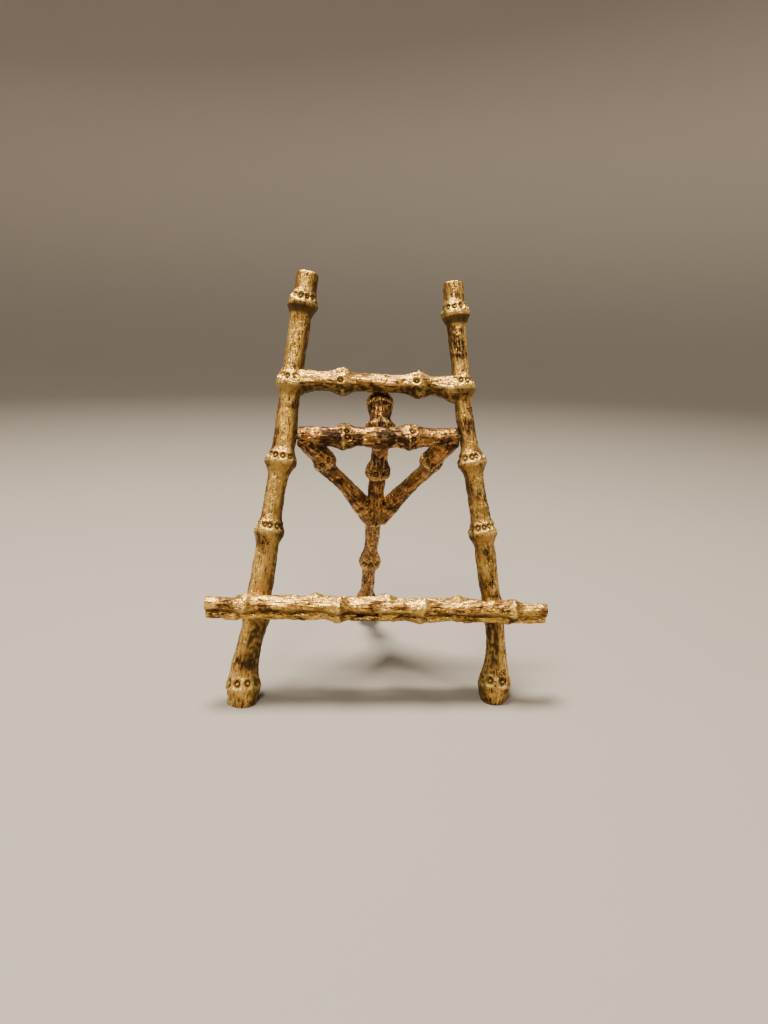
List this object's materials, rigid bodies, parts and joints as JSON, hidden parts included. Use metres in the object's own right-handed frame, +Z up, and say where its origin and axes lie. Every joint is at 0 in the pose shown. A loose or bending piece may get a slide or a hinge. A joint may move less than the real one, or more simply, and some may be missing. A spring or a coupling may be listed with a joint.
{
  "type": "photo album stand",
  "caption": "Small tabletop easel of cast bamboo stalks: a leaning frame with a ledge holds a photo album or picture, and a braced strut hinged behind it folds flat.",
  "frame": {"origin": "on the table plane, under the middle of the stand's box as it stands open", "axes": "+Z up, +X to the viewer's right as the ledge faces the viewer, +Y to the rear, towards the strut's foot"},
  "size_m": [0.1114, 0.0848, 0.1389],
  "materials": {
    "pale_gilt": "pale antique gilt over cast metal, satin, rubbed bright on the rims with umber patina in the recesses",
    "umber_gilt": "dark antique gilt over cast metal, satin, heavy umber patina with gold highlights",
    "pin_metal": "darkened plain steel pin"
  },
  "bodies": {
    "front_frame": {"left_upright": "pale_gilt", "right_upright": "pale_gilt", "top_rail": "pale_gilt", "ledge_lip_stalk": "pale_gilt", "ledge_front_stalk": "pale_gilt", "ledge_back_stalk": "pale_gilt"},
    "strut": {"strut_crossbar": "umber_gilt", "strut_stem": "umber_gilt", "strut_finial": "umber_gilt", "left_brace": "umber_gilt", "right_brace": "umber_gilt", "left_pivot_pin": "pin_metal", "right_pivot_pin": "pin_metal"}
  },
  "joints": [
    {"name": "strut_fold", "type": "hinge", "parent": "front_frame", "child": "strut", "pos_m": [-0.00034, -0.01646, 0.08534], "axis": [-1, 0, 0], "range_deg": [0, 39]}
  ]
}
